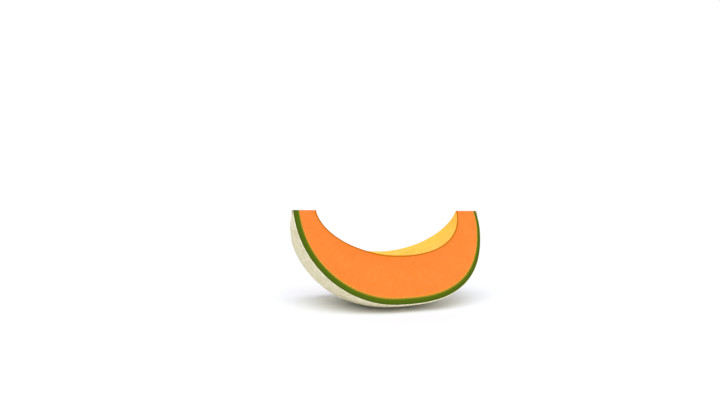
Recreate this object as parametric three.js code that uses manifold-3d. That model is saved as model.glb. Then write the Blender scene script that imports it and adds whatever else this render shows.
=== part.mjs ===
// A wedge of cantaloupe melon, one seventh of the fruit, cut lengthwise from end to end and cleared of seeds.
//
// Frame, in millimetres: +Z is up and Z = 0 is the surface that the wedge rests on. X runs along the fruit's
// long axis, with the stem end at +X. The origin is under the middle of the wedge's length, between the two cut
// faces. The wedge lies on its rind: the fruit's long axis is its top edge, and the cut faces fall away from
// that edge to the front (-Y) and to the back (+Y).
//
// A point of the wedge is found by three numbers: how far along the axis, how deep below it, and the turn about
// it from straight down, positive towards the front.

import * as THREE from "three";
import { mergeVertices } from "three/addons/utils/BufferGeometryUtils.js";
import Module from "manifold-3d";

// The fruit that the wedge is cut from, with each end's length measured from its widest station.
const MELON_DIAMETER = 150;
const STEM_END_LENGTH = 82;
const BLOSSOM_END_LENGTH = 80.5;
const STEM_END_FULLNESS = 2.55; // 2 is an ellipse, more is squarer
const BLOSSOM_END_FULLNESS = 2.1;
const FULLNESS_BLEND = 0.35; // how softly one end's fullness passes into the other's
const RIND_SWELL = 0.45; // height of the rind's slow unevenness
const SWELL_WAVES = 3; // waves of it in a turn from end to end and back
const SWELL_SHIFT = 0.7;
const STEM_SCAR_DEPTH = 1.4; // the dimple where the stem sat
const STEM_SCAR_RADIUS = 8;

// The seed hollow, which lies a little nearer the back of the fruit. Depths are from the axis, at the widest
// station.
const HOLLOW_FRONT_DEPTH = 36.6;
const HOLLOW_BACK_DEPTH = 40.2;
const HOLLOW_STEM_LENGTH = 61;
const HOLLOW_BLOSSOM_LENGTH = 62;
const HOLLOW_FRONT_FULLNESS = 2.4; // of its stem end, at the front cut face
const HOLLOW_BACK_FULLNESS = 2;
const HOLLOW_BLOSSOM_FULLNESS = 1.82;
const FURROWS = 3; // lengthwise furrows that the seed strands leave
const FURROW_DEPTH = 0.6;
const FURROW_WANDER = 0.9; // radians of a furrow's turn that it strays by

// The cut.
const WEDGES_IN_FRUIT = 7;
const SEAT_TRIM = 0.5; // height pressed flat where the rind rests

// The mesh.
const STATIONS = 60; // steps from end to end
const TURNS = 18; // steps from one cut face to the other
const END_CROWDING = 0.35; // how much closer the stations lie at the two ends

const MELON_RADIUS = MELON_DIAMETER / 2;
const HALF_ANGLE = Math.PI / WEDGES_IN_FRUIT;

// A rounded outline about the widest station, as a distance at an angle from the stem end.
function outline(angle, stemLength, blossomLength, depth, stemFullness, blossomFullness) {
  const along = Math.cos(angle);
  const down = Math.sin(angle);
  const stemShare = 0.5 * (1 + Math.tanh(along / FULLNESS_BLEND));
  const fullness = blossomFullness + (stemFullness - blossomFullness) * stemShare;
  const length = along > 0 ? stemLength : blossomLength;
  const sum = Math.abs(along / length) ** fullness + Math.abs(down / depth) ** fullness;
  return sum ** (-1 / fullness);
}

// The rind's surface: the fruit's outline, its slow swell and the stem's dimple.
function rindDistance(angle, turn) {
  const round = outline(
    angle,
    STEM_END_LENGTH,
    BLOSSOM_END_LENGTH,
    MELON_RADIUS,
    STEM_END_FULLNESS,
    BLOSSOM_END_FULLNESS,
  );
  const towardsMiddle = Math.cos((turn / HALF_ANGLE) * (Math.PI / 2));
  const wave = Math.sin(SWELL_WAVES * angle + SWELL_SHIFT);
  const swell = RIND_SWELL * towardsMiddle * Math.sin(angle) * wave;
  const fromStem = (round * Math.sin(angle)) / STEM_SCAR_RADIUS;
  const dimple = Math.cos(angle) > 0 ? STEM_SCAR_DEPTH * Math.exp(-fromStem * fromStem) : 0;
  return round + swell - dimple;
}

// The seed hollow's surface, with its lengthwise furrows, which fade out at both ends.
function hollowDistance(angle, turn) {
  const frontShare = (turn / HALF_ANGLE + 1) / 2;
  const smooth = outline(
    angle,
    HOLLOW_STEM_LENGTH,
    HOLLOW_BLOSSOM_LENGTH,
    HOLLOW_BACK_DEPTH + (HOLLOW_FRONT_DEPTH - HOLLOW_BACK_DEPTH) * frontShare,
    HOLLOW_BACK_FULLNESS + (HOLLOW_FRONT_FULLNESS - HOLLOW_BACK_FULLNESS) * frontShare,
    HOLLOW_BLOSSOM_FULLNESS,
  );
  const across = frontShare * FURROWS * 2 * Math.PI;
  const stray = FURROW_WANDER * Math.sin(2 * angle);
  return smooth + FURROW_DEPTH * Math.sin(angle) ** 2 * Math.sin(across + stray);
}

// The point at a distance and angle from the widest station, turned about the fruit's axis.
function pointAt(distance, angle, turn) {
  const depth = distance * Math.sin(angle);
  return [distance * Math.cos(angle), -depth * Math.sin(turn), -depth * Math.cos(turn)];
}

// Angles from the stem end to the blossom end, closer together at both ends.
function stationAngle(step) {
  const share = step / STATIONS;
  return Math.PI * (share - (END_CROWDING * Math.sin(2 * Math.PI * share)) / (2 * Math.PI));
}

// One grid of points over a surface that closes to a single point at each end.
function surfacePoints(distanceAt) {
  const rows = [];
  for (let i = 0; i <= STATIONS; i++) {
    const angle = stationAngle(i);
    const atEnd = i === 0 || i === STATIONS;
    const row = [];
    for (let j = 0; j <= TURNS; j++) {
      const turn = HALF_ANGLE * ((2 * j) / TURNS - 1);
      const point = pointAt(distanceAt(angle, atEnd ? 0 : turn), angle, turn);
      row.push(atEnd ? [point[0], 0, 0] : point);
    }
    rows.push(row);
  }
  return rows;
}

// The closed wedge: rind outside, hollow inside, and the two cut faces between their edges.
function wedgeGeometry() {
  const rind = surfacePoints(rindDistance);
  const hollow = surfacePoints(hollowDistance);
  const positions = [];
  const same = (p, q) => p[0] === q[0] && p[1] === q[1] && p[2] === q[2];
  const triangle = (a, b, c) => {
    if (!same(a, b) && !same(b, c) && !same(c, a)) positions.push(...a, ...b, ...c);
  };
  const quad = (a, b, c, d) => {
    triangle(a, b, c);
    triangle(a, c, d);
  };
  for (let i = 0; i < STATIONS; i++) {
    for (let j = 0; j < TURNS; j++) {
      quad(rind[i][j], rind[i][j + 1], rind[i + 1][j + 1], rind[i + 1][j]);
      quad(hollow[i][j], hollow[i + 1][j], hollow[i + 1][j + 1], hollow[i][j + 1]);
    }
    quad(rind[i][0], rind[i + 1][0], hollow[i + 1][0], hollow[i][0]);
    quad(rind[i][TURNS], hollow[i][TURNS], hollow[i + 1][TURNS], rind[i + 1][TURNS]);
  }
  const geometry = new THREE.BufferGeometry();
  geometry.setAttribute("position", new THREE.Float32BufferAttribute(positions, 3));
  return mergeVertices(geometry);
}

const wasm = await Module();
wasm.setup();

// A closed geometry as a solid that can be cut.
function solidFrom(geometry) {
  const bare = new THREE.BufferGeometry();
  bare.setAttribute("position", geometry.getAttribute("position"));
  bare.setIndex(geometry.index);
  const merged = mergeVertices(bare);
  return new wasm.Manifold(
    new wasm.Mesh({
      numProp: 3,
      vertProperties: new Float32Array(merged.getAttribute("position").array),
      triVerts: new Uint32Array(merged.index.array),
    }),
  );
}

// The solid as a geometry again.
function geometryFrom(solid) {
  const mesh = solid.getMesh();
  const geometry = new THREE.BufferGeometry();
  geometry.setAttribute("position", new THREE.BufferAttribute(mesh.vertProperties, mesh.numProp));
  geometry.setIndex(new THREE.BufferAttribute(mesh.triVerts, 1));
  geometry.computeVertexNormals();
  return geometry;
}

// The wedge centred along X and set down on Z = 0, with the lowest part of its rind pressed flat.
function seatedWedge() {
  const wedge = wedgeGeometry();
  wedge.computeBoundingBox();
  const { min, max } = wedge.boundingBox;
  wedge.translate(-(min.x + max.x) / 2, 0, -min.z - SEAT_TRIM);
  const below = new THREE.BoxGeometry(2 * MELON_DIAMETER, 2 * MELON_DIAMETER, MELON_DIAMETER);
  below.translate(0, 0, -MELON_DIAMETER / 2);
  return geometryFrom(solidFrom(wedge).subtract(solidFrom(below)));
}

const flesh = new THREE.MeshStandardMaterial({ color: 0xff8e3e, roughness: 0.45, metalness: 0 });

const wedge = new THREE.Mesh(seatedWedge(), flesh);
wedge.name = "melon_wedge";

const part = new THREE.Group();
part.add(wedge);

export default part;
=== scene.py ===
# A wedge of ripe cantaloupe melon, one seventh of the fruit, lying on its rind.
#
# Metres, with +Z up and the wedge resting on Z = 0. X runs along the fruit's long axis, with the stem end
# at +X. The wedge is dressed in four layers, each a closed solid: the flesh, the lining of its seed hollow,
# the green rind and the skin. The skin has a corky scar at each end, and a few seed threads cling to the
# lining.
#
# A point of a layer is found by its distance from the middle of the widest station, its angle from the stem
# end, and its turn about the fruit's axis from straight down, positive towards the front (-Y).

import math

import bmesh
import bpy
import numpy as np
from mathutils import Matrix, Vector


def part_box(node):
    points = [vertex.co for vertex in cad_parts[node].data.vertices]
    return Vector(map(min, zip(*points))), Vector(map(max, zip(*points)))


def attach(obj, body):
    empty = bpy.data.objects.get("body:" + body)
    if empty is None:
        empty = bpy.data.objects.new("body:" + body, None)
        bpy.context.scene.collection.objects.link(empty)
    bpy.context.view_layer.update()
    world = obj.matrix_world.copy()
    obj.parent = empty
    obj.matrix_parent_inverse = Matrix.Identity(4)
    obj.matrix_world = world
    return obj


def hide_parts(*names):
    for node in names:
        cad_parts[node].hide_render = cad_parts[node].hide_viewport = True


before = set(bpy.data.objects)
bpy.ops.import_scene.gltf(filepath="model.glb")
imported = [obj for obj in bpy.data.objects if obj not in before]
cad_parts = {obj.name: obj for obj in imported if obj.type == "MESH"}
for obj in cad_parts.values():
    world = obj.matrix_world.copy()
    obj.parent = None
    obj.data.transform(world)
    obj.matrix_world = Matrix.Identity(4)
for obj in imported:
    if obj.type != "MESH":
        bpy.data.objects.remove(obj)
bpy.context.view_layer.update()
node_low, node_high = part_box("melon_wedge")

MM = 0.001

# The fruit, with each end's length measured from its widest station.
MELON_RADIUS = 75 * MM
STEM_END_LENGTH = 82 * MM
BLOSSOM_END_LENGTH = 80.5 * MM
STEM_END_FULLNESS = 2.55  # 2 is an ellipse, more is squarer
BLOSSOM_END_FULLNESS = 2.1
FULLNESS_BLEND = 0.35  # how softly one end's fullness passes into the other's
RIND_SWELL = 0.45 * MM  # height of the rind's slow unevenness
SWELL_WAVES = 3  # waves of it in a turn from end to end and back
SWELL_SHIFT = 0.7
STEM_DIMPLE_DEPTH = 1.4 * MM
STEM_DIMPLE_RADIUS = 8 * MM

# The seed hollow, which lies a little nearer the back of the fruit.
HOLLOW_FRONT_DEPTH = 36.6 * MM
HOLLOW_BACK_DEPTH = 40.2 * MM
HOLLOW_STEM_LENGTH = 61 * MM
HOLLOW_BLOSSOM_LENGTH = 62 * MM
HOLLOW_FRONT_FULLNESS = 2.4
HOLLOW_BACK_FULLNESS = 2.0
HOLLOW_BLOSSOM_FULLNESS = 1.82
FURROWS = 3  # lengthwise furrows that the seed strands leave
FURROW_DEPTH = 0.6 * MM
FURROW_WANDER = 0.9  # radians of a furrow's turn that it strays by

# The cut.
WEDGES_IN_FRUIT = 7
HALF_TURN = math.pi / WEDGES_IN_FRUIT
RIDGE_SOFTNESS = 0.6 * MM  # how far the sharp top edge is worn down
EDGE_RADIUS = 0.35 * MM  # rounding of the edges along the skin and the hollow
KNIFE_WANDER = 0.16 * MM  # how far the cut faces stray from flat
WANDER_LENGTH = 11 * MM  # along the cut, for each radian of its waves
WANDER_DEPTH = 8 * MM  # the same down the cut

# The layers.
SKIN_THICKNESS = 0.4 * MM
GREEN_STEM_THICKNESS = 1.9 * MM
GREEN_MIDDLE_THICKNESS = 4.3 * MM
GREEN_BLOSSOM_THICKNESS = 4.5 * MM
LINING_THICKNESS = 1.6 * MM

# The corky scars at the two ends of the skin.
STEM_SCAR_RADIUS = 6.5 * MM
STEM_SCAR_HEIGHT = 0.9 * MM
BLOSSOM_SCAR_RADIUS = 4 * MM
BLOSSOM_SCAR_HEIGHT = 0.4 * MM
SCAR_ROOT = 0.3 * MM  # how deep a scar sits in the skin

AXIS_HEIGHT = node_high.z
WIDEST_X = node_low.x + BLOSSOM_END_LENGTH


# Shape of the fruit.


def outline(angle, stem_length, blossom_length, depth, stem_fullness, blossom_fullness):
    """A rounded outline about the widest station, as a distance at an angle from the stem end."""
    along = np.cos(angle)
    down = np.sin(angle)
    stem_share = 0.5 * (1 + np.tanh(along / FULLNESS_BLEND))
    fullness = blossom_fullness + (stem_fullness - blossom_fullness) * stem_share
    length = np.where(along > 0, stem_length, blossom_length)
    total = np.abs(along / length) ** fullness + np.abs(down / depth) ** fullness
    return total ** (-1 / fullness)


def rind_distance(angle, turn):
    """The outside of the skin: the fruit's outline, its slow swell and the stem's dimple."""
    round_shape = outline(
        angle,
        STEM_END_LENGTH,
        BLOSSOM_END_LENGTH,
        MELON_RADIUS,
        STEM_END_FULLNESS,
        BLOSSOM_END_FULLNESS,
    )
    towards_middle = np.cos(turn / HALF_TURN * math.pi / 2)
    wave = np.sin(SWELL_WAVES * angle + SWELL_SHIFT)
    swell = RIND_SWELL * towards_middle * np.sin(angle) * wave
    from_stem = round_shape * np.sin(angle) / STEM_DIMPLE_RADIUS
    dimple = np.where(np.cos(angle) > 0, STEM_DIMPLE_DEPTH * np.exp(-(from_stem**2)), 0)
    return round_shape + swell - dimple


def hollow_distance(angle, turn):
    """The seed hollow's surface, with lengthwise furrows that fade out at both ends."""
    front_share = (turn / HALF_TURN + 1) / 2
    smooth = outline(
        angle,
        HOLLOW_STEM_LENGTH,
        HOLLOW_BLOSSOM_LENGTH,
        HOLLOW_BACK_DEPTH + (HOLLOW_FRONT_DEPTH - HOLLOW_BACK_DEPTH) * front_share,
        HOLLOW_BACK_FULLNESS + (HOLLOW_FRONT_FULLNESS - HOLLOW_BACK_FULLNESS) * front_share,
        HOLLOW_BLOSSOM_FULLNESS,
    )
    across = front_share * FURROWS * 2 * math.pi
    stray = FURROW_WANDER * np.sin(2 * angle)
    return smooth + FURROW_DEPTH * np.sin(angle) ** 2 * np.sin(across + stray)


def under_skin(angle, turn):
    return rind_distance(angle, turn) - SKIN_THICKNESS


def under_green(angle, turn):
    """The inside of the green rind, which thins towards the stem end."""
    at_end = np.where(np.cos(angle) > 0, GREEN_STEM_THICKNESS, GREEN_BLOSSOM_THICKNESS)
    green_thickness = at_end + (GREEN_MIDDLE_THICKNESS - at_end) * np.sin(angle)
    return under_skin(angle, turn) - green_thickness


def behind_lining(angle, turn):
    return hollow_distance(angle, turn) + LINING_THICKNESS


def scar_crown(radius, height):
    """A low crown on the rind about one end, which comes down to the rind at the scar's edge."""

    def crown_distance(angle, turn):
        rind = rind_distance(angle, turn)
        from_end = rind * np.sin(angle) / radius
        return rind + height * np.clip(1 - from_end**2, 0, 1)

    return crown_distance


def wedge_points(distance, angle, turn):
    """Places points of the fruit, with the top edge worn round and the cut faces a little off flat."""
    depth = distance * np.sin(angle)
    along = distance * np.cos(angle)
    down = depth * np.cos(turn)
    lean = np.sin(turn) / math.sin(HALF_TURN)
    stray = KNIFE_WANDER * np.sin(along / WANDER_LENGTH + lean) * np.cos(down / WANDER_DEPTH)
    stray = stray * depth / (depth + WANDER_DEPTH)
    worn_down = np.sqrt(down**2 + RIDGE_SOFTNESS**2)
    front = depth * np.sin(turn) + lean * stray
    return np.stack([WIDEST_X + along, -front, AXIS_HEIGHT - worn_down], axis=-1)


# Layers as closed meshes.

EDGE_SHARES = np.array([0, 0.3, 0.62])  # extra steps inside an edge's rounding
ROUNDING_LIMIT = 0.3  # the most of a layer's thickness or half width that an edge's rounding takes
BORDER_FADE = 40  # how steeply relief on a cut face rises from the face's borders
LEAST_THICKNESS = 1e-9
LEAST_LENGTH = 1e-12
WELD_REACH = 1e-7


def station_angles(count, first=0.0, last=math.pi, crowding=0.75):
    """Angles of the stations from first to last, closer together at both ends."""
    share = np.linspace(0, 1, count + 1)
    eased = share - crowding * np.sin(2 * math.pi * share) / (2 * math.pi)
    return (first + (last - first) * eased)[:, None]


def shares_with_edges(edge, count):
    """Shares from 0 to 1 in even steps, with extra steps within an edge's width of both ends."""
    near = edge * EDGE_SHARES
    even = edge + (1 - 2 * edge) * np.linspace(0, 1, count)
    return np.hstack([near, even, 1 - near[:, ::-1]])


def round_corner(from_cut, from_face, radius):
    """Moves points near the corner of two faces onto a round edge between them."""
    inside = (from_cut < radius) & (from_face < radius)
    across = from_cut - radius
    inward = from_face - radius
    length = np.maximum(np.hypot(across, inward), LEAST_LENGTH)
    rounded_cut = np.where(inside, radius + across * radius / length, from_cut)
    rounded_face = np.where(inside, radius + inward * radius / length, from_face)
    return rounded_cut, rounded_face


def layer_loops(angle, outer_at, inner_at, steps, rounded):
    """Distances, turns and depth shares of the points round each section of a layer, and which are cut.

    steps counts the points over the outer face, through a cut face and over the inner face.
    rounded says whether the edges along the outer face and along the inner face are rounded.
    """
    outer_steps, cut_steps, inner_steps = steps
    outer_rounded, inner_rounded = rounded
    rim = np.full_like(angle, HALF_TURN)
    thickness = np.maximum(outer_at(angle, rim) - inner_at(angle, rim), LEAST_THICKNESS)
    half_width = np.maximum(inner_at(angle, rim) * np.sin(angle) * HALF_TURN, LEAST_THICKNESS)
    radius = np.minimum(EDGE_RADIUS, ROUNDING_LIMIT * np.minimum(thickness, half_width))

    over_outer = 2 * shares_with_edges(radius / half_width / 2, outer_steps) - 1
    through = 1 - shares_with_edges(radius / thickness, cut_steps)
    over_inner = 1 - 2 * shares_with_edges(radius / half_width / 2, inner_steps)
    sides = [
        (over_outer, np.ones_like(over_outer), 0),
        (np.ones_like(through), through, 1),
        (over_inner, np.zeros_like(over_inner), 0),
        (-np.ones_like(through), 1 - through, 1),
    ]
    lean = np.hstack([side_lean[:, :-1] for side_lean, side_depth, is_cut in sides])
    depth = np.hstack([side_depth[:, :-1] for side_lean, side_depth, is_cut in sides])
    cut = np.hstack([np.full_like(side_lean[:, :-1], is_cut) for side_lean, side_depth, is_cut in sides])

    from_cut = (1 - np.abs(lean)) * half_width
    if outer_rounded:
        from_cut, from_face = round_corner(from_cut, (1 - depth) * thickness, radius)
        depth = 1 - from_face / thickness
    if inner_rounded:
        from_cut, from_face = round_corner(from_cut, depth * thickness, radius)
        depth = from_face / thickness
    lean = np.sign(lean) * (1 - from_cut / half_width)

    turn = lean * HALF_TURN
    inner = inner_at(angle, turn)
    distance = inner + depth * (outer_at(angle, turn) - inner)
    return distance, turn, depth, cut


def outward(angle, turn):
    """The direction away from the middle of the fruit."""
    sideways = -np.sin(angle) * np.sin(turn)
    upward = -np.sin(angle) * np.cos(turn)
    return np.stack([np.cos(angle) + 0 * turn, sideways, upward], axis=-1)


def cut_normal(turn):
    """The direction out of the nearer cut face."""
    sideways = -np.sign(turn) * math.cos(HALF_TURN)
    upward = np.full_like(turn, math.sin(HALF_TURN))
    return np.stack([0 * turn, sideways, upward], axis=-1)


def layer(
    name,
    outer_at,
    inner_at,
    stations,
    steps,
    rounded=(False, False),
    relief="outer",
    **station_range,
):
    """One layer of the wedge as a closed mesh.

    Its points carry three attributes. place is the angle, turn and depth share. cut is 1 on the cut faces.
    lift is the way that relief may move a point, with no length where the layer meets others.
    """
    angle = station_angles(stations, **station_range)
    distance, turn, depth, cut = layer_loops(angle, outer_at, inner_at, steps, rounded)
    points = wedge_points(distance, angle, turn)
    every_angle = angle + 0 * turn
    off_borders = cut * np.clip(BORDER_FADE * depth * (1 - depth), 0, 1)
    lifts = {
        "outer": outward(every_angle, turn) * (depth > 0.5)[..., None],
        "inner": -outward(every_angle, turn) * (depth < 0.5)[..., None],
        "cut": cut_normal(turn) * off_borders[..., None],
    }
    attributes = {
        "place": np.stack([every_angle, turn, depth], axis=-1),
        "lift": lifts[relief],
        "cut": cut,
    }
    return welded_piece(name, points, attributes)


def welded_piece(name, loops, attributes):
    """Joins a row of closed loops into one closed surface, with the first and last loops closed up."""
    rows, columns = loops.shape[:2]
    index = np.arange(rows * columns).reshape(rows, columns)
    near = index[:-1]
    far = index[1:]
    quads = np.stack([near, np.roll(near, -1, 1), np.roll(far, -1, 1), far], axis=-1)
    mesh = bpy.data.meshes.new(name)
    mesh.from_pydata(loops.reshape(-1, 3).tolist(), [], quads.reshape(-1, 4).tolist())
    for attribute, values in attributes.items():
        kind, field = ("FLOAT_VECTOR", "vector") if values.ndim == 3 else ("FLOAT", "value")
        mesh.attributes.new(attribute, kind, "POINT").data.foreach_set(field, values.ravel())

    work = bmesh.new()
    work.from_mesh(mesh)
    work.verts.ensure_lookup_table()
    ends = [work.verts[i] for i in (*index[0], *index[-1])]
    bmesh.ops.remove_doubles(work, verts=ends, dist=WELD_REACH)
    bmesh.ops.recalc_face_normals(work, faces=work.faces)
    work.to_mesh(mesh)
    work.free()
    return linked(name, mesh)


def linked(name, mesh):
    piece = bpy.data.objects.new(name, mesh)
    bpy.context.scene.collection.objects.link(piece)
    return piece


# Node trees.


def new_tree(name, kind, inputs, outputs):
    """A node tree with named inputs and outputs, and its two end nodes."""
    tree = bpy.data.node_groups.new(name, kind)
    for socket, socket_type in inputs.items():
        tree.interface.new_socket(socket, in_out="INPUT", socket_type=socket_type)
    for socket, socket_type in outputs.items():
        tree.interface.new_socket(socket, in_out="OUTPUT", socket_type=socket_type)
    return tree, tree.nodes.new("NodeGroupInput"), tree.nodes.new("NodeGroupOutput")


def put(tree, kind, inputs=None, **options):
    """Adds a node, sets its options and fills its inputs, by a link where the value is a socket."""
    node = tree.nodes.new(kind)
    for option, value in options.items():
        setattr(node, option, value)
    for socket, value in (inputs or {}).items():
        if isinstance(value, bpy.types.NodeSocket):
            tree.links.new(value, node.inputs[socket])
        else:
            node.inputs[socket].default_value = value
    return node


def maths(tree, operation, *values):
    return put(tree, "ShaderNodeMath", dict(enumerate(values)), operation=operation).outputs[0]


def vectors(tree, operation, *values):
    return put(tree, "ShaderNodeVectorMath", dict(enumerate(values)), operation=operation).outputs[0]


def scaled(tree, vector, factor):
    node = put(tree, "ShaderNodeVectorMath", {"Vector": vector, "Scale": factor}, operation="SCALE")
    return node.outputs["Vector"]


def remap(tree, value, low, high, new_low=0.0, new_high=1.0, kind="SMOOTHSTEP"):
    inputs = {"Value": value, "From Min": low, "From Max": high, "To Min": new_low, "To Max": new_high}
    return put(tree, "ShaderNodeMapRange", inputs, interpolation_type=kind).outputs["Result"]


def noise(tree, vector, scale, detail=2.0, roughness=0.5):
    inputs = {"Vector": vector, "Scale": scale, "Detail": detail, "Roughness": roughness}
    return put(tree, "ShaderNodeTexNoise", inputs)


def mixed(tree, share, first, second):
    """A colour between two colours."""
    node = put(tree, "ShaderNodeMix", data_type="RGBA")
    sockets = {"Factor": share, "A": first, "B": second}
    wanted = {"Factor": "VALUE", "A": "RGBA", "B": "RGBA"}
    for socket in node.inputs:
        if wanted.get(socket.name) == socket.type:
            value = sockets[socket.name]
            if isinstance(value, bpy.types.NodeSocket):
                tree.links.new(value, socket)
            else:
                socket.default_value = value
    return next(socket for socket in node.outputs if socket.type == "RGBA")


def run_tree(piece, tree, values):
    """Runs a geometry tree on a piece and keeps the result as its plain mesh."""
    modifier = piece.modifiers.new(tree.name, "NODES")
    modifier.node_group = tree
    for item in tree.interface.items_tree:
        if item.in_out == "INPUT" and item.name in values:
            modifier[item.identifier] = values[item.name]
    graph = bpy.context.evaluated_depsgraph_get()
    made = bpy.data.meshes.new_from_object(piece.evaluated_get(graph), depsgraph=graph)
    piece.modifiers.remove(modifier)
    piece.data = made
    return piece


# Geometry trees.

GEOMETRY = "NodeSocketGeometry"
FLOAT = "NodeSocketFloat"
VECTOR = "NodeSocketVector"
WHOLE = "NodeSocketInt"
MATERIAL = "NodeSocketMaterial"

NOISE_MIDDLE = (0.5, 0.5, 0.5)
NET_SINK = 0.3  # how far the skin sits lower between cords, as a share of a cord's height
NET_GRAIN = 0.2  # the same for the net's fine grain
THREAD_STEPS = 14  # points along a thread
THREAD_SIDES = 5  # points round it


def named(tree, attribute):
    inputs = {"Name": attribute}
    return put(tree, "GeometryNodeInputNamedAttribute", inputs, data_type="FLOAT_VECTOR").outputs[0]


def end_tree(tree, geometry, material, result):
    """Every geometry tree ends by making its copies real and giving them their material."""
    real = put(tree, "GeometryNodeRealizeInstances", {"Geometry": geometry})
    dressed = put(tree, "GeometryNodeSetMaterial", {"Geometry": real.outputs[0], "Material": material})
    tree.links.new(dressed.outputs[0], result.inputs[0])


def net_tree():
    """Raises a corky net on the skin: wandering cords round uneven meshes, with finer cords in some."""
    inputs = {
        "Geometry": GEOMETRY,
        "Mesh Size": FLOAT,
        "Cord Width": FLOAT,
        "Cord Height": FLOAT,
        "Wander": FLOAT,
        "Seed": FLOAT,
        "Material": MATERIAL,
    }
    tree, given, result = new_tree("Corky net", "GeometryNodeTree", inputs, {"Geometry": GEOMETRY})
    mesh_size = given.outputs["Mesh Size"]
    position = put(tree, "GeometryNodeInputPosition").outputs["Position"]
    seeded = vectors(tree, "ADD", position, given.outputs["Seed"])

    def uneven(waves, detail=2.0):
        """Noise that swings so many times across one mesh of the net."""
        return noise(tree, seeded, maths(tree, "DIVIDE", waves, mesh_size), detail).outputs

    sway = vectors(tree, "SUBTRACT", uneven(0.6)["Color"], NOISE_MIDDLE)
    swayed = vectors(tree, "ADD", seeded, scaled(tree, sway, given.outputs["Wander"]))

    def cords(size, half_width):
        """1 along the cords round meshes of a size, fading to 0 at their edges."""
        cell_scale = maths(tree, "DIVIDE", 1.0, size)
        inputs = {"Vector": swayed, "Scale": cell_scale}
        cells = put(tree, "ShaderNodeTexVoronoi", inputs, feature="DISTANCE_TO_EDGE")
        away = maths(tree, "MULTIPLY", cells.outputs["Distance"], size)
        return remap(tree, away, 0.0, half_width, new_low=1.0, new_high=0.0)

    width_share = remap(tree, uneven(0.8, detail=1.0)[0], 0.3, 0.7, new_low=0.3, new_high=0.75)
    half_width = maths(tree, "MULTIPLY", given.outputs["Cord Width"], width_share)
    main_cords = cords(mesh_size, half_width)
    fine_size = maths(tree, "MULTIPLY", mesh_size, 0.5)
    fine_width = maths(tree, "MULTIPLY", half_width, 0.6)
    some = remap(tree, uneven(0.35, detail=1.0)[0], 0.45, 0.6, new_high=0.6)
    fine_cords = maths(tree, "MULTIPLY", cords(fine_size, fine_width), some)
    net = maths(tree, "MAXIMUM", main_cords, fine_cords)

    grain = maths(tree, "MULTIPLY", uneven(5.0)[0], NET_GRAIN)
    raised = maths(tree, "ADD", maths(tree, "SUBTRACT", net, NET_SINK), grain)
    height = maths(tree, "MULTIPLY", raised, given.outputs["Cord Height"])
    offset = scaled(tree, named(tree, "lift"), height)
    moved = put(tree, "GeometryNodeSetPosition", {"Geometry": given.outputs["Geometry"], "Offset": offset})
    marks = {"Geometry": moved.outputs[0], "Name": "net", "Value": net}
    marked = put(tree, "GeometryNodeStoreNamedAttribute", marks, data_type="FLOAT", domain="POINT")
    above_floor = vectors(tree, "MAXIMUM", position, (-1.0, -1.0, 0.0))
    seated = put(tree, "GeometryNodeSetPosition", {"Geometry": marked.outputs[0], "Position": above_floor})
    end_tree(tree, seated.outputs[0], given.outputs["Material"], result)
    return tree


def grain_tree():
    """Relief in tissue: soft streaks one way and small bumps, where the layer may be lifted."""
    inputs = {
        "Geometry": GEOMETRY,
        "Streak Pitch": VECTOR,
        "Streak Height": FLOAT,
        "Bump Size": FLOAT,
        "Bump Height": FLOAT,
        "Seed": FLOAT,
        "Material": MATERIAL,
    }
    tree, given, result = new_tree("Tissue grain", "GeometryNodeTree", inputs, {"Geometry": GEOMETRY})
    seed = given.outputs["Seed"]
    position = put(tree, "GeometryNodeInputPosition").outputs["Position"]
    pitched = vectors(tree, "MULTIPLY", named(tree, "place"), given.outputs["Streak Pitch"])
    streaks = noise(tree, vectors(tree, "ADD", pitched, seed), 1.0, 3.0).outputs[0]
    bump_scale = maths(tree, "DIVIDE", 1.0, given.outputs["Bump Size"])
    bumps = noise(tree, vectors(tree, "ADD", position, seed), bump_scale).outputs[0]

    def centred(value, height):
        return maths(tree, "MULTIPLY", maths(tree, "SUBTRACT", value, 0.5), given.outputs[height])

    height = maths(tree, "ADD", centred(streaks, "Streak Height"), centred(bumps, "Bump Height"))
    offset = scaled(tree, named(tree, "lift"), height)
    moved = put(tree, "GeometryNodeSetPosition", {"Geometry": given.outputs["Geometry"], "Offset": offset})
    end_tree(tree, moved.outputs[0], given.outputs["Material"], result)
    return tree


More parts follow.
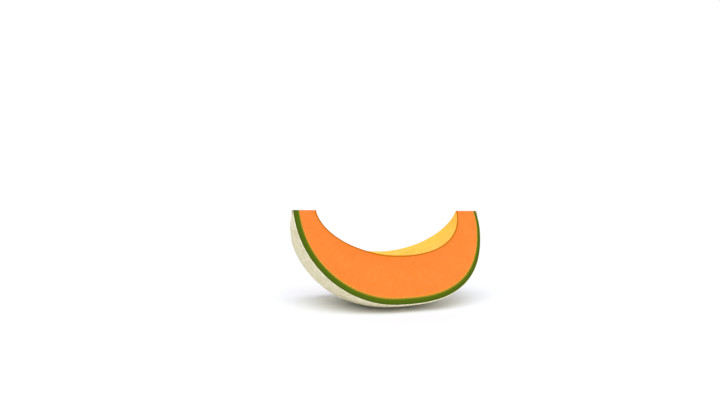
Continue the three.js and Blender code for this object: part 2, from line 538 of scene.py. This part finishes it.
def threads_tree():
    """Thin threads that lie along a hollow surface, each wandering a little and tapering at both ends."""
    inputs = {
        "Geometry": GEOMETRY,
        "Threads per Square Metre": FLOAT,
        "Longest": FLOAT,
        "Shortest": FLOAT,
        "Radius": FLOAT,
        "Wander": FLOAT,
        "Straying": FLOAT,
        "Rim Turn": FLOAT,
        "End Angle": FLOAT,
        "Seed": WHOLE,
        "Material": MATERIAL,
    }
    tree, given, result = new_tree("Clinging threads", "GeometryNodeTree", inputs, {"Geometry": GEOMETRY})
    surface = given.outputs["Geometry"]
    seed = given.outputs["Seed"]
    place = put(tree, "ShaderNodeSeparateXYZ", {"Vector": named(tree, "place")})
    angle, turn, depth = place.outputs

    inside = maths(tree, "LESS_THAN", depth, 0.02)
    from_middle = maths(tree, "ABSOLUTE", turn)
    off_rims = maths(tree, "LESS_THAN", from_middle, given.outputs["Rim Turn"])
    from_widest = maths(tree, "ABSOLUTE", maths(tree, "SUBTRACT", angle, math.pi / 2))
    off_ends = maths(tree, "LESS_THAN", from_widest, given.outputs["End Angle"])
    here = maths(tree, "MULTIPLY", inside, maths(tree, "MULTIPLY", off_rims, off_ends))
    scattered = {
        "Mesh": surface,
        "Selection": here,
        "Density": given.outputs["Threads per Square Metre"],
        "Seed": seed,
    }
    starts = put(tree, "GeometryNodeDistributePointsOnFaces", scattered)

    def chance(low, high, shift):
        """A random number for each thread. Each shift of the seed gives other numbers."""
        inputs = {2: low, 3: high, "Seed": maths(tree, "ADD", seed, shift)}
        return put(tree, "FunctionNodeRandomValue", inputs, data_type="FLOAT").outputs[1]

    lengthwise = vectors(tree, "CROSS_PRODUCT", starts.outputs["Normal"], (0.0, 1.0, 0.0))
    aside = scaled(tree, (0.0, 1.0, 0.0), chance(-1.0, 1.0, 1))
    aimed = vectors(tree, "ADD", lengthwise, scaled(tree, aside, given.outputs["Straying"]))
    facing = put(tree, "FunctionNodeAlignRotationToVector", {"Vector": aimed}, axis="X")
    line = put(tree, "GeometryNodeCurvePrimitiveLine", {"Start": (-0.5, 0, 0), "End": (0.5, 0, 0)})
    stepped = put(tree, "GeometryNodeResampleCurve", {"Curve": line.outputs[0], "Count": THREAD_STEPS})
    lengths = chance(given.outputs["Shortest"], given.outputs["Longest"], 2)
    instances = {
        "Points": starts.outputs["Points"],
        "Instance": stepped.outputs[0],
        "Rotation": facing.outputs[0],
        "Scale": lengths,
    }
    laid = put(tree, "GeometryNodeInstanceOnPoints", instances)
    real = put(tree, "GeometryNodeRealizeInstances", {"Geometry": laid.outputs[0]})

    position = put(tree, "GeometryNodeInputPosition").outputs["Position"]
    wander_scale = maths(tree, "DIVIDE", 0.4, given.outputs["Wander"])
    swing = vectors(tree, "SUBTRACT", noise(tree, position, wander_scale).outputs["Color"], NOISE_MIDDLE)
    swung = vectors(tree, "ADD", position, scaled(tree, swing, given.outputs["Wander"]))
    sampled = {0: surface, "Sample Position": swung}
    nearest = put(tree, "GeometryNodeProximity", sampled, target_element="FACES").outputs["Position"]
    middle = (WIDEST_X, 0.0, AXIS_HEIGHT)
    inward = vectors(tree, "NORMALIZE", vectors(tree, "SUBTRACT", middle, nearest))
    resting = vectors(tree, "ADD", nearest, scaled(tree, inward, given.outputs["Radius"]))
    snapped = put(tree, "GeometryNodeSetPosition", {"Geometry": real.outputs[0], "Position": resting})

    along = put(tree, "GeometryNodeSplineParameter").outputs["Factor"]
    hump = maths(tree, "SINE", maths(tree, "MULTIPLY", along, math.pi))
    thinning = remap(tree, hump, 0.0, 0.7, new_low=0.25)
    taper = maths(tree, "MULTIPLY", given.outputs["Radius"], thinning)
    ring = put(tree, "GeometryNodeCurvePrimitiveCircle", {"Resolution": THREAD_SIDES, "Radius": 1.0})
    drawn = {
        "Curve": snapped.outputs[0],
        "Profile Curve": ring.outputs[0],
        "Scale": taper,
        "Fill Caps": True,
    }
    tubes = put(tree, "GeometryNodeCurveToMesh", drawn)
    end_tree(tree, tubes.outputs[0], given.outputs["Material"], result)
    return tree


# Shader groups.

CRACK_BEND = 1 * MM  # how far a crack strays
CRACK_DEPTH = 0.5  # of the height of the crumb


def patches_group():
    """Soft uneven patches of one size, as a share from 0 to 1."""
    inputs = {"Vector": VECTOR, "Patch Size": FLOAT, "Seed": FLOAT}
    tree, given, result = new_tree("Soft patches", "ShaderNodeTree", inputs, {"Share": FLOAT})
    at = vectors(tree, "ADD", given.outputs["Vector"], given.outputs["Seed"])
    scale = maths(tree, "DIVIDE", 1.0, given.outputs["Patch Size"])
    share = remap(tree, noise(tree, at, scale, detail=3.0).outputs[0], 0.3, 0.7)
    tree.links.new(share, result.inputs["Share"])
    return tree


def fibres_group():
    """Long fine streaks along a layer, as a share from 0 to 1.

    Pitch counts them by angle, turn and depth.
    """
    inputs = {"Place": VECTOR, "Pitch": VECTOR, "Seed": FLOAT}
    tree, given, result = new_tree("Fibres", "ShaderNodeTree", inputs, {"Share": FLOAT})
    pitched = vectors(tree, "MULTIPLY", given.outputs["Place"], given.outputs["Pitch"])
    at = vectors(tree, "ADD", pitched, given.outputs["Seed"])
    streaks = noise(tree, at, 1.0, detail=3.0, roughness=0.6).outputs[0]
    tree.links.new(remap(tree, streaks, 0.32, 0.68), result.inputs["Share"])
    return tree


def moist_group():
    """A broken film of juice over fine cells: its roughness, and the cells' height."""
    inputs = {"Vector": VECTOR, "Cell Size": FLOAT, "Film Size": FLOAT, "Wettest": FLOAT, "Driest": FLOAT}
    outputs = {"Roughness": FLOAT, "Height": FLOAT}
    tree, given, result = new_tree("Moist cells", "ShaderNodeTree", inputs, outputs)
    at = given.outputs["Vector"]
    cell_scale = maths(tree, "DIVIDE", 1.0, given.outputs["Cell Size"])
    cells = put(tree, "ShaderNodeTexVoronoi", {"Vector": at, "Scale": cell_scale}, feature="SMOOTH_F1")
    film_scale = maths(tree, "DIVIDE", 1.0, given.outputs["Film Size"])
    film = remap(tree, noise(tree, at, film_scale, detail=3.0).outputs[0], 0.35, 0.65)
    wettest, driest = given.outputs["Wettest"], given.outputs["Driest"]
    tree.links.new(remap(tree, film, 0.0, 1.0, wettest, driest, "LINEAR"), result.inputs["Roughness"])
    height = maths(tree, "SUBTRACT", 1.0, cells.outputs["Distance"])
    tree.links.new(height, result.inputs["Height"])
    return tree


def cork_group():
    """Dry cork: a fine crumbly height, with short dark cracks as a share from 0 to 1."""
    inputs = {"Vector": VECTOR, "Crumb Size": FLOAT, "Crack Size": FLOAT}
    outputs = {"Height": FLOAT, "Cracks": FLOAT}
    tree, given, result = new_tree("Dry cork", "ShaderNodeTree", inputs, outputs)
    at = given.outputs["Vector"]
    crumb_scale = maths(tree, "DIVIDE", 1.0, given.outputs["Crumb Size"])
    crumb = noise(tree, at, crumb_scale, detail=4.0, roughness=0.65).outputs[0]
    crack_scale = maths(tree, "DIVIDE", 1.0, given.outputs["Crack Size"])
    bend = scaled(tree, noise(tree, at, crack_scale).outputs["Color"], CRACK_BEND)
    inputs = {"Vector": vectors(tree, "ADD", at, bend), "Scale": crack_scale}
    cells = put(tree, "ShaderNodeTexVoronoi", inputs, feature="DISTANCE_TO_EDGE")
    cracks = remap(tree, cells.outputs["Distance"], 0.01, 0.09, new_low=1.0, new_high=0.0)
    height = maths(tree, "SUBTRACT", crumb, maths(tree, "MULTIPLY", cracks, CRACK_DEPTH))
    tree.links.new(height, result.inputs["Height"])
    tree.links.new(cracks, result.inputs["Cracks"])
    return tree


# Materials.

REACH_BY_COLOUR = (1.0, 0.45, 0.2)  # how far red, green and blue light pass into tissue, as shares
MOIST_SPECULAR = 0.03
JUICE_ROUGHNESS = 0.22


def screen(red, green, blue):
    """A colour from its 0 to 255 screen values."""
    shares = (np.array([red, green, blue]) / 255 + 0.055) / 1.055
    return (*(shares**2.4).tolist(), 1.0)


def new_material(name):
    """A material, its tree, its shader and the point that it is read at."""
    material = bpy.data.materials.new(name)
    material.use_nodes = True
    tree = material.node_tree
    at = put(tree, "ShaderNodeTexCoord").outputs["Object"]
    return material, tree, tree.nodes["Principled BSDF"], at


def effect(tree, group, **inputs):
    """Places a shader group in a material. Inputs are named in small letters, with _ for spaces."""
    node = tree.nodes.new("ShaderNodeGroup")
    node.node_tree = group
    for socket in node.inputs:
        value = inputs[socket.name.lower().replace(" ", "_")]
        if isinstance(value, bpy.types.NodeSocket):
            tree.links.new(value, socket)
        else:
            socket.default_value = value
    return node.outputs


def stored(tree, attribute):
    return put(tree, "ShaderNodeAttribute", attribute_name=attribute).outputs


def placed(tree):
    """A point's angle, turn and depth share in its layer, together, and the depth share alone."""
    place = stored(tree, "place")["Vector"]
    return place, put(tree, "ShaderNodeSeparateXYZ", {"Vector": place}).outputs["Z"]


def tinted(tree, colour, tint, share, most):
    """A colour with a tint over it, by a share that is scaled to reach most."""
    return mixed(tree, maths(tree, "MULTIPLY", share, most), colour, tint)


def add_up(tree, *weighted):
    """The sum of values, each with its weight."""
    total = 0.0
    for value, weight in weighted:
        total = maths(tree, "ADD", total, maths(tree, "MULTIPLY", value, weight))
    return total


def bumped(tree, shader, height, distance):
    bump = put(tree, "ShaderNodeBump", {"Height": height, "Distance": distance})
    tree.links.new(bump.outputs["Normal"], shader.inputs["Normal"])


def dress(tree, shader, colour, roughness, height, relief):
    """Gives a shader its colour, its roughness and a fine relief of some height."""
    tree.links.new(colour, shader.inputs["Base Color"])
    tree.links.new(roughness, shader.inputs["Roughness"])
    bumped(tree, shader, height, relief)


def hold(shader, constants):
    """Sets what is the same all over a surface."""
    for socket, value in constants.items():
        shader.inputs[socket].default_value = value


def moisten(shader, under_light, reach, coat):
    """The constant parts of a moist tissue: light that passes some way in, and a thin coat of juice."""
    hold(shader, {
        "Subsurface Weight": under_light,
        "Subsurface Radius": REACH_BY_COLOUR,
        "Subsurface Scale": reach,
        "Specular IOR Level": MOIST_SPECULAR,
        "Coat Weight": coat,
        "Coat Roughness": JUICE_ROUGHNESS,
    })


RIND_EDGE = screen(134, 134, 34)  # where flesh passes into green rind

FLESH_INNER = screen(248, 126, 46)
FLESH_OUTER = screen(249, 132, 51)
FLESH_PATCH = screen(251, 144, 66)
FLESH_FIBRE = screen(238, 111, 35)
FLESH_CELL = screen(254, 161, 88)
FLESH_EDGE = screen(236, 150, 54)


def flesh_material(groups):
    """Moist orange flesh, deeper beside the hollow, with a narrow yellower edge against the rind."""
    material, tree, shader, at = new_material("moist_flesh")
    place, depth = placed(tree)
    wide = effect(tree, groups["patches"], vector=at, patch_size=9 * MM, seed=0.0)["Share"]
    small = effect(tree, groups["patches"], vector=at, patch_size=1.1 * MM, seed=4.0)["Share"]
    fibres = effect(tree, groups["fibres"], place=place, pitch=(55.0, 2.0, 3.0), seed=2.0)["Share"]
    moist = effect(
        tree,
        groups["moist"],
        vector=at,
        cell_size=0.55 * MM,
        film_size=3.5 * MM,
        wettest=0.5,
        driest=0.75,
    )

    ragged = add_up(tree, (depth, 1.0), (small, 0.006), (fibres, 0.008))
    colour = mixed(tree, remap(tree, ragged, 0.02, 0.45), FLESH_INNER, FLESH_OUTER)
    colour = tinted(tree, colour, FLESH_PATCH, wide, most=0.4)
    colour = tinted(tree, colour, FLESH_FIBRE, fibres, most=0.35)
    colour = tinted(tree, colour, FLESH_CELL, small, most=0.22)
    colour = mixed(tree, remap(tree, ragged, 0.94, 0.99), colour, FLESH_EDGE)
    colour = mixed(tree, remap(tree, ragged, 0.975, 1.005), colour, RIND_EDGE)
    height = add_up(tree, (moist["Height"], 0.5), (fibres, 0.6), (small, 0.4))
    dress(tree, shader, colour, moist["Roughness"], height, relief=0.07 * MM)
    moisten(shader, under_light=0.25, reach=1.6 * MM, coat=0.02)
    return material


LINING_GROUND = screen(253, 199, 78)
LINING_PATCH = screen(253, 184, 62)
LINING_STRAND = screen(255, 216, 106)
LINING_THREAD = screen(252, 176, 56)
RIM_INNER = screen(200, 110, 6)
RIM_OUTER = screen(240, 124, 34)


def lining_material(groups):
    """The hollow's soft yellow lining, streaked lengthwise, with a dark orange line where it is cut."""
    material, tree, shader, at = new_material("hollow_lining")
    place, depth = placed(tree)
    cut = stored(tree, "cut")["Fac"]
    wide = effect(tree, groups["patches"], vector=at, patch_size=7 * MM, seed=6.0)["Share"]
    strands = effect(tree, groups["fibres"], place=place, pitch=(3.0, 42.0, 0.0), seed=8.0)["Share"]
    threads = effect(tree, groups["fibres"], place=place, pitch=(9.0, 120.0, 0.0), seed=1.0)["Share"]
    moist = effect(
        tree,
        groups["moist"],
        vector=at,
        cell_size=0.7 * MM,
        film_size=3 * MM,
        wettest=0.25,
        driest=0.5,
    )

    colour = tinted(tree, LINING_GROUND, LINING_PATCH, wide, most=0.45)
    colour = tinted(tree, colour, LINING_STRAND, strands, most=0.4)
    colour = tinted(tree, colour, LINING_THREAD, threads, most=0.25)
    rim = mixed(tree, remap(tree, depth, 0.7, 1.0), RIM_INNER, RIM_OUTER)
    colour = mixed(tree, remap(tree, cut, 0.1, 0.5), colour, rim)
    height = add_up(tree, (moist["Height"], 0.3), (strands, 1.0), (threads, 0.5))
    dress(tree, shader, colour, moist["Roughness"], height, relief=0.04 * MM)
    moisten(shader, under_light=0.2, reach=0.3 * MM, coat=0.15)
    return material


GREEN_GROUND = screen(76, 97, 4)
GREEN_PATCH = screen(90, 111, 10)
GREEN_DEEP = screen(60, 81, 2)


def green_material(groups):
    """Firm green rind, paler against the flesh and darkest under the skin."""
    material, tree, shader, at = new_material("green_rind")
    place, depth = placed(tree)
    small = effect(tree, groups["patches"], vector=at, patch_size=0.9 * MM, seed=3.0)["Share"]
    fibres = effect(tree, groups["fibres"], place=place, pitch=(90.0, 2.0, 2.0), seed=5.0)["Share"]
    moist = effect(
        tree,
        groups["moist"],
        vector=at,
        cell_size=0.4 * MM,
        film_size=3 * MM,
        wettest=0.38,
        driest=0.6,
    )

    ragged = add_up(tree, (depth, 1.0), (small, -0.04), (fibres, -0.06))
    colour = tinted(tree, GREEN_GROUND, GREEN_PATCH, small, most=0.25)
    colour = mixed(tree, remap(tree, ragged, -0.1, 0.2), RIND_EDGE, colour)
    colour = mixed(tree, remap(tree, ragged, 0.5, 1.0), colour, GREEN_DEEP)
    height = add_up(tree, (moist["Height"], 0.5), (fibres, 0.5))
    dress(tree, shader, colour, moist["Roughness"], height, relief=0.05 * MM)
    hold(shader, {"Specular IOR Level": 0.08})
    return material


SKIN_GROUND = screen(221, 212, 174)
SKIN_PATCH = screen(227, 219, 184)
SKIN_FLECK = screen(214, 204, 162)
CORD = screen(237, 229, 200)
CORD_CRACK = screen(215, 201, 164)


def skin_material(groups):
    """Dry cream skin with paler cords of cork in a net."""
    material, tree, shader, at = new_material("netted_skin")
    net = stored(tree, "net")["Fac"]
    wide = effect(tree, groups["patches"], vector=at, patch_size=14 * MM, seed=1.0)["Share"]
    small = effect(tree, groups["patches"], vector=at, patch_size=1.4 * MM, seed=9.0)["Share"]
    cork = effect(tree, groups["cork"], vector=at, crumb_size=0.5 * MM, crack_size=1.6 * MM)

    ground = mixed(tree, wide, SKIN_GROUND, SKIN_PATCH)
    ground = tinted(tree, ground, SKIN_FLECK, small, most=0.4)
    cords = tinted(tree, CORD, CORD_CRACK, cork["Cracks"], most=0.25)
    colour = mixed(tree, remap(tree, net, 0.15, 0.7), ground, cords)
    roughness = remap(tree, net, 0.0, 0.8, new_low=0.62, new_high=0.85)
    corkiness = remap(tree, net, 0.0, 0.8, new_low=0.4)
    height = maths(tree, "MULTIPLY", cork["Height"], corkiness)
    dress(tree, shader, colour, roughness, height, relief=0.1 * MM)
    hold(shader, {"Specular IOR Level": 0.25})
    return material


SCAR_DEEP = screen(206, 188, 150)
SCAR_PALE = screen(222, 208, 174)
SCAR_CRACK = screen(160, 134, 96)


def scar_material(groups):
    """Tan dry cork, cracked, brown in the cracks."""
    material, tree, shader, at = new_material("cork_scar")
    wide = effect(tree, groups["patches"], vector=at, patch_size=3 * MM, seed=2.0)["Share"]
    cork = effect(tree, groups["cork"], vector=at, crumb_size=0.4 * MM, crack_size=0.8 * MM)
    colour = mixed(tree, wide, SCAR_DEEP, SCAR_PALE)
    colour = tinted(tree, colour, SCAR_CRACK, cork["Cracks"], most=0.7)
    tree.links.new(colour, shader.inputs["Base Color"])
    bumped(tree, shader, cork["Height"], 0.25 * MM)
    hold(shader, {"Roughness": 0.85, "Specular IOR Level": 0.2})
    return material


THREAD_DEEP = screen(255, 204, 92)
THREAD_PALE = screen(255, 222, 132)


def thread_material(groups):
    """Wet threads, a little paler than the lining that they cling to."""
    material, tree, shader, at = new_material("seed_threads")
    wide = effect(tree, groups["patches"], vector=at, patch_size=5 * MM, seed=7.0)["Share"]
    tree.links.new(mixed(tree, wide, THREAD_DEEP, THREAD_PALE), shader.inputs["Base Color"])
    hold(shader, {"Roughness": 0.35})
    moisten(shader, under_light=0.2, reach=0.1 * MM, coat=0.15)
    return material


# Camera, found from the outline of the wedge: it looks a little down on the cut face from the left.
CAMERA_TURN = math.radians(-28.39)
CAMERA_ELEVATION = math.radians(9.84)
CAMERA_DISTANCE = 550 * MM
CAMERA_AIM = Vector((WIDEST_X, 0, AXIS_HEIGHT - 30 * MM))
CAMERA_YAW = math.radians(2.5)
CAMERA_PITCH = math.radians(-3.53)
CAMERA_ROLL = math.radians(3.64)
LENS = 35
SENSOR_WIDTH = 36


def backward(turn, elevation):
    """The direction from what is looked at back to a camera."""
    level = math.cos(elevation)
    return Vector((math.sin(turn) * level, -math.cos(turn) * level, math.sin(elevation)))


def make_camera():
    data = bpy.data.cameras.new("camera")
    data.lens = LENS
    data.sensor_width = SENSOR_WIDTH
    camera = bpy.data.objects.new("camera", data)
    bpy.context.scene.collection.objects.link(camera)
    turn = CAMERA_TURN + CAMERA_YAW
    back = backward(turn, CAMERA_ELEVATION + CAMERA_PITCH)
    right = Vector((math.cos(turn), math.sin(turn), 0))
    up = back.cross(right)
    facing = Matrix((right, up, back)).transposed().to_4x4()
    place = CAMERA_AIM + backward(CAMERA_TURN, CAMERA_ELEVATION) * CAMERA_DISTANCE
    camera.matrix_world = Matrix.Translation(place) @ facing @ Matrix.Rotation(CAMERA_ROLL, 4, "Z")
    bpy.context.scene.camera = camera


# Light: an even white room, with one large soft light high behind the camera.
ROOM_LIGHT = 0.69
BACKGROUND = 1.05
SUN_STRENGTH = 1.6
SUN_SIZE = math.radians(50)
SUN_TURN = math.radians(-32)
SUN_ELEVATION = math.radians(60)
FLOOR_COLOUR = (0.91, 0.93, 0.98, 1.0)
FLOOR_ROUGHNESS = 0.9
FLOOR_SPECULAR = 0.1
FLOOR_REACH = 6.0  # half of its width


def make_room():
    """A room that lights evenly and that the camera sees as plain white."""
    world = bpy.data.worlds.new("room")
    bpy.context.scene.world = world
    world.use_nodes = True
    tree = world.node_tree
    tree.nodes.clear()
    seen = put(tree, "ShaderNodeLightPath").outputs["Is Camera Ray"]
    strength = remap(tree, seen, 0.0, 1.0, ROOM_LIGHT, BACKGROUND, "LINEAR")
    background = put(tree, "ShaderNodeBackground", {"Color": (1, 1, 1, 1), "Strength": strength})
    put(tree, "ShaderNodeOutputWorld", {"Surface": background.outputs[0]})


def make_soft_light():
    data = bpy.data.lights.new("soft_light", "SUN")
    data.energy = SUN_STRENGTH
    data.angle = SUN_SIZE
    light = bpy.data.objects.new("soft_light", data)
    towards = backward(SUN_TURN, SUN_ELEVATION)
    light.rotation_euler = towards.to_track_quat("Z", "Y").to_euler()
    bpy.context.scene.collection.objects.link(light)


def make_floor():
    reach = FLOOR_REACH
    corners = [(-reach, -reach, 0), (reach, -reach, 0), (reach, reach, 0), (-reach, reach, 0)]
    mesh = bpy.data.meshes.new("floor")
    mesh.from_pydata(corners, [], [(0, 1, 2, 3)])
    material = bpy.data.materials.new("floor_paper")
    material.use_nodes = True
    hold(material.node_tree.nodes["Principled BSDF"], {
        "Base Color": FLOOR_COLOUR,
        "Roughness": FLOOR_ROUGHNESS,
        "Specular IOR Level": FLOOR_SPECULAR,
    })
    mesh.materials.append(material)
    linked("floor", mesh)


# Pieces.

SHARP_ANGLE = math.radians(50)  # an edge stays sharp where its faces turn by more


def make_flesh(groups, grain):
    steps = (8, 62, 8)
    flesh = layer("flesh", under_green, behind_lining, stations=300, steps=steps, relief="cut")
    return run_tree(flesh, grain, {
        "Streak Pitch": (45.0, 0.0, 3.0),
        "Streak Height": 0.14 * MM,
        "Bump Size": 1.6 * MM,
        "Bump Height": 0.12 * MM,
        "Seed": 1.7,
        "Material": flesh_material(groups),
    })


def make_lining(groups, grain):
    lining = layer(
        "hollow_lining",
        behind_lining,
        hollow_distance,
        stations=300,
        steps=(6, 3, 92),
        rounded=(False, True),
        relief="inner",
    )
    return run_tree(lining, grain, {
        "Streak Pitch": (2.5, 34.0, 0.0),
        "Streak Height": 0.3 * MM,
        "Bump Size": 3 * MM,
        "Bump Height": 0.2 * MM,
        "Seed": 5.2,
        "Material": lining_material(groups),
    })


def make_threads(groups, lining):
    threads = linked("seed_threads", lining.data.copy())
    return run_tree(threads, threads_tree(), {
        "Threads per Square Metre": 45000.0,
        "Longest": 18 * MM,
        "Shortest": 5 * MM,
        "Radius": 0.09 * MM,
        "Wander": 2.5 * MM,
        "Straying": 0.15,
        "Rim Turn": 0.68 * HALF_TURN,
        "End Angle": math.radians(66),
        "Seed": 11,
        "Material": thread_material(groups),
    })


def make_green_rind(groups, grain):
    steps = (8, 10, 8)
    green = layer("green_rind", under_skin, under_green, stations=300, steps=steps, relief="cut")
    return run_tree(green, grain, {
        "Streak Pitch": (60.0, 0.0, 2.0),
        "Streak Height": 0.08 * MM,
        "Bump Size": 1.2 * MM,
        "Bump Height": 0.06 * MM,
        "Seed": 8.4,
        "Material": green_material(groups),
    })


def make_skin(groups):
    skin = layer(
        "skin",
        rind_distance,
        under_skin,
        stations=480,
        steps=(160, 3, 6),
        rounded=(True, False),
        relief="outer",
    )
    return run_tree(skin, net_tree(), {
        "Mesh Size": 6.5 * MM,
        "Cord Width": 1.6 * MM,
        "Cord Height": 0.45 * MM,
        "Wander": 5 * MM,
        "Seed": 3.1,
        "Material": skin_material(groups),
    })


def make_scar(name, radius, height, at_stem, grain, cork):
    """A scar of cork that crowns one end of the skin."""
    reach = math.asin(radius / (STEM_END_LENGTH if at_stem else BLOSSOM_END_LENGTH))
    first, last = (0, reach) if at_stem else (math.pi - reach, math.pi)
    top = scar_crown(radius, height)
    root = scar_crown(radius, -SCAR_ROOT)
    scar = layer(
        name,
        top,
        root,
        stations=40,
        steps=(40, 4, 40),
        relief="outer",
        first=first,
        last=last,
        crowding=0,
    )
    return run_tree(scar, grain, {
        "Streak Pitch": (70.0, 3.0, 0.0),
        "Streak Height": 0.5 * MM,
        "Bump Size": 1 * MM,
        "Bump Height": 0.4 * MM,
        "Seed": 2.9,
        "Material": cork,
    })


make_camera()
make_room()
make_soft_light()
make_floor()

groups = {
    "patches": patches_group(),
    "fibres": fibres_group(),
    "moist": moist_group(),
    "cork": cork_group(),
}
grain = grain_tree()
flesh = make_flesh(groups, grain)
lining = make_lining(groups, grain)
threads = make_threads(groups, lining)
green_rind = make_green_rind(groups, grain)
skin = make_skin(groups)
cork = scar_material(groups)
stem_scar = make_scar("stem_scar", STEM_SCAR_RADIUS, STEM_SCAR_HEIGHT, True, grain, cork)
blossom_scar = make_scar("blossom_scar", BLOSSOM_SCAR_RADIUS, BLOSSOM_SCAR_HEIGHT, False, grain, cork)

slots = {
    flesh: "flesh",
    lining: "hollow_lining",
    threads: "hollow_lining",
    green_rind: "green_rind",
    skin: "skin",
    stem_scar: "cork_scar",
    blossom_scar: "cork_scar",
}
for piece, slot in slots.items():
    piece.data.shade_smooth()
    piece.data.set_sharp_from_angle(angle=SHARP_ANGLE)
    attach(piece, "root")
for piece in (flesh, lining, green_rind, skin):
    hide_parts("melon_wedge")

bpy.context.scene.view_settings.view_transform = "Standard"
